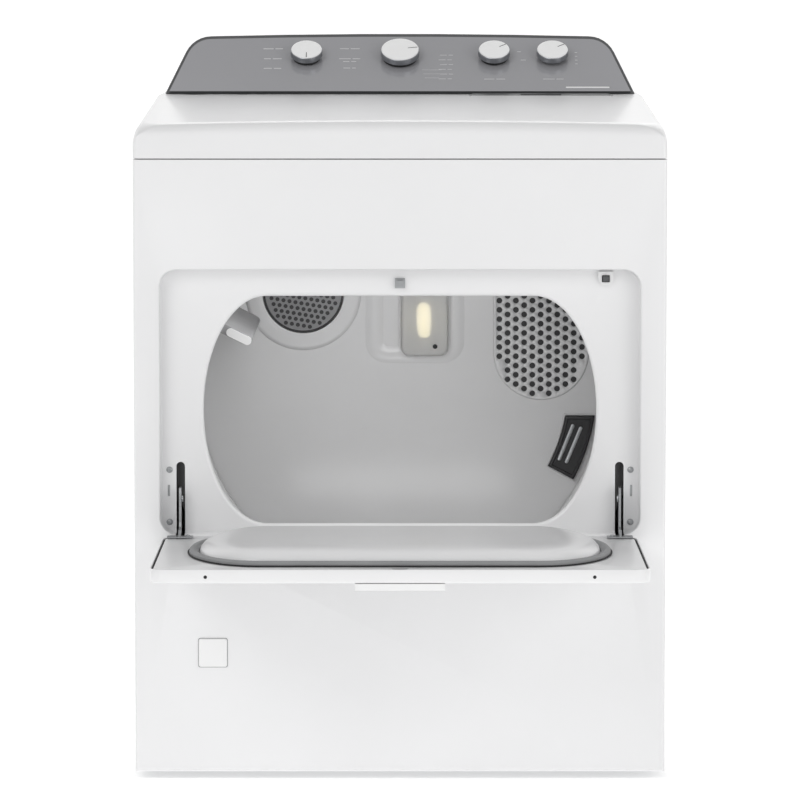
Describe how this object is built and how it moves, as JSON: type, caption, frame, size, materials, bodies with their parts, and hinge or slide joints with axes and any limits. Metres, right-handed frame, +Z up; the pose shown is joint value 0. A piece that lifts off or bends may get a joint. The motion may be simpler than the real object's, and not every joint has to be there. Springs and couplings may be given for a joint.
{
  "type": "clothes dryer",
  "caption": "Front-loading gas clothes dryer with a drop-down door, turning drum, sloped control console and top lint screen.",
  "frame": {"origin": "on the floor, under the middle of the box round the whole machine with its door open", "axes": "+X to the user's right, +Y from the front to the back, +Z up"},
  "size_m": [0.737, 1.0874, 1.0299],
  "materials": {
    "white_enamel": "gloss white enamel",
    "white_plastic": "white moulded plastic",
    "grey_fascia": "glossy grey fascia",
    "dark_grey_plastic": "satin dark grey",
    "black_plastic": "satin black",
    "zinc_steel": "bright zinc plate",
    "galvanised": "galvanised sheet",
    "drum_enamel": "light grey enamel",
    "grey_rubber": "matt grey",
    "black_rubber": "matt black",
    "felt": "pressed felt",
    "lens_plastic": "clear moulded plastic",
    "bulb_glass": "warm frosted glass",
    "filter_mesh": "fine mesh in a dark frame"
  },
  "bodies": {
    "cabinet": {"left_side_panel": "white_enamel", "right_side_panel": "white_enamel", "base_pan": "galvanised", "front_panel": "white_enamel", "rear_panel": "galvanised", "top_panel": "white_enamel", "console_housing": "dark_grey_plastic", "console_fascia": "grey_fascia", "timer_module": "black_plastic", "temperature_switch": "black_plastic", "signal_switch": "black_plastic", "start_switch": "black_plastic", "lint_chute": "black_plastic", "rear_bulkhead": "drum_enamel", "inlet_grille": "dark_grey_plastic", "outlet_grille": "drum_enamel", "light_lens": "lens_plastic", "light_bulb": "bulb_glass", "moisture_sensor": "black_plastic", "front_drum_seal": "felt", "drive_motor": "galvanised", "blower_housing": "galvanised", "exhaust_duct": "galvanised", "heat_duct": "galvanised", "combustion_tube": "galvanised", "gas_valve": "zinc_steel", "gas_access_plug": "white_plastic", "hinge_bracket_left": "galvanised", "hinge_bracket_right": "galvanised", "door_catch": "zinc_steel", "door_switch_housing": "white_plastic", "drum_belt": "black_rubber", "idler_bracket": "galvanised", "levelling_foot_front_left": "black_rubber", "levelling_foot_front_right": "black_rubber", "levelling_foot_rear_left": "black_rubber", "levelling_foot_rear_right": "black_rubber", "power_inlet_gland": "black_plastic"},
    "drum": {"drum_shell": "drum_enamel", "drum_baffle_1": "white_plastic", "drum_baffle_2": "white_plastic", "drum_baffle_3": "white_plastic"},
    "roller_left": {"drum_roller_left": "black_rubber"},
    "roller_right": {"drum_roller_right": "black_rubber"},
    "motor_rotor": {"motor_shaft": "zinc_steel", "blower_wheel": "dark_grey_plastic"},
    "idler": {"idler_pulley": "black_plastic"},
    "timer_knob": {"timer_knob": "white_plastic"},
    "temperature_knob": {"temperature_knob": "white_plastic"},
    "signal_knob": {"signal_knob": "white_plastic"},
    "start_knob": {"start_knob": "white_plastic"},
    "door": {"door_outer_panel": "white_enamel", "door_inner_panel": "white_enamel", "door_seal": "grey_rubber", "door_handle": "white_plastic", "door_strike": "zinc_steel", "hinge_arm_left": "zinc_steel", "hinge_arm_right": "zinc_steel"},
    "door_switch": {"door_switch_plunger": "dark_grey_plastic"},
    "lint_screen": {"lint_screen": "filter_mesh"}
  },
  "joints": [
    {"name": "door_hinge", "type": "hinge", "parent": "cabinet", "child": "door", "pos_m": [0, -0.16925, 0.336], "axis": [-1, 0, 0], "range_deg": [0, 90]},
    {"name": "door_switch_press", "type": "slide", "parent": "cabinet", "child": "door_switch", "axis": [0, 1, 0], "range_m": [0, 0.005]},
    {"name": "drum_spin", "type": "hinge", "parent": "cabinet", "child": "drum", "pos_m": [0, 0.10875, 0.503], "axis": [0, 1, 0], "continuous": true},
    {"name": "roller_left_spin", "type": "hinge", "parent": "cabinet", "child": "roller_left", "pos_m": [-0.21194, 0.30925, 0.20032], "axis": [0, 1, 0], "continuous": true},
    {"name": "roller_right_spin", "type": "hinge", "parent": "cabinet", "child": "roller_right", "pos_m": [0.21194, 0.30925, 0.20032], "axis": [0, 1, 0], "continuous": true},
    {"name": "motor_spin", "type": "hinge", "parent": "cabinet", "child": "motor_rotor", "pos_m": [0.115, 0.12175, 0.128], "axis": [0, 1, 0], "continuous": true},
    {"name": "idler_spin", "type": "hinge", "parent": "cabinet", "child": "idler", "pos_m": [0.0275, 0.12175, 0.116], "axis": [0, 1, 0], "continuous": true},
    {"name": "timer_turn", "type": "hinge", "parent": "cabinet", "child": "timer_knob", "pos_m": [0, 0.44937, 0.99427], "axis": [0, -0.5548, 0.832], "continuous": true},
    {"name": "temperature_turn", "type": "hinge", "parent": "cabinet", "child": "temperature_knob", "pos_m": [-0.141, 0.44937, 0.99427], "axis": [0, -0.5548, 0.832], "range_deg": [-75, 75]},
    {"name": "signal_turn", "type": "hinge", "parent": "cabinet", "child": "signal_knob", "pos_m": [0.142, 0.44937, 0.99427], "axis": [0, -0.5548, 0.832], "range_deg": [-45, 45]},
    {"name": "start_push", "type": "slide", "parent": "cabinet", "child": "start_knob", "axis": [0, 0.5548, -0.832], "range_m": [0, 0.004], "stiffness_N_per_m": 600},
    {"name": "lint_screen_slide", "type": "slide", "parent": "cabinet", "child": "lint_screen", "axis": [0, -0.2419, 0.9703], "range_m": [0, 0.365]}
  ],
  "couplings": [
    {"joint": "door_switch_press", "follows": "door_hinge", "m_per_rad": 0.00318},
    {"joint": "roller_left_spin", "follows": "drum_spin", "ratio": -8.7105},
    {"joint": "roller_right_spin", "follows": "drum_spin", "ratio": -8.7105},
    {"joint": "motor_spin", "follows": "drum_spin", "ratio": 26.397},
    {"joint": "idler_spin", "follows": "drum_spin", "ratio": -15.118}
  ]
}
